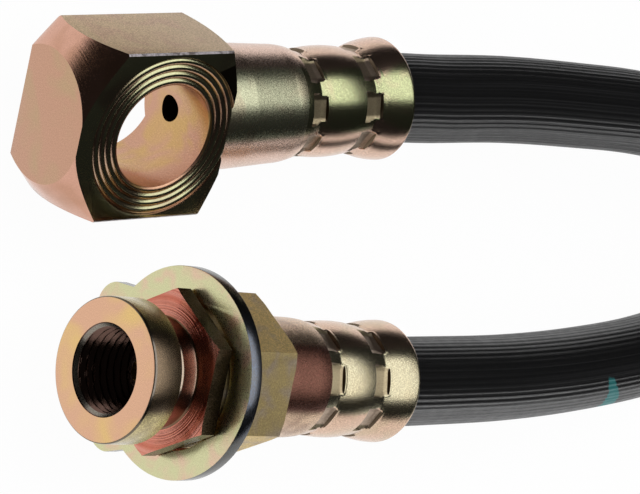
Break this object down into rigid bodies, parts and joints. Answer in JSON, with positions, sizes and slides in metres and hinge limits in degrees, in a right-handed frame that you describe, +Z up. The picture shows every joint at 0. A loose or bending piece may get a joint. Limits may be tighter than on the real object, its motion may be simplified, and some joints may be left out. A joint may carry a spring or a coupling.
{
  "type": "brake hose",
  "caption": "Flexible rubber brake hose with a ridged banjo block on one end and a threaded hexagon socket with a bracket washer on the other, joined by crimped sockets.",
  "frame": {"origin": "centre of the footprint of the two fittings, on the surface that the hose lies on", "axes": "+X from the fittings' free ends towards the hose's loop, +Y towards the banjo end, +Z up"},
  "size_m": [0.2582, 0.1011, 0.0251],
  "materials": {
    "gold_plate": "turned steel with an iridescent yellow zinc plating",
    "pale_plate": "pressed steel with a pale green and pink zinc plating",
    "insert_steel": "plain drawn steel tube",
    "black_rubber": "satin extruded rubber with fine lengthwise ribs"
  },
  "bodies": {
    "root": {"banjo_fitting_body": "gold_plate", "banjo_insert_tube": "insert_steel", "hose": "black_rubber", "female_fitting_body": "gold_plate", "bracket_washer": "pale_plate", "female_insert_tube": "insert_steel"}
  },
  "joints": []
}
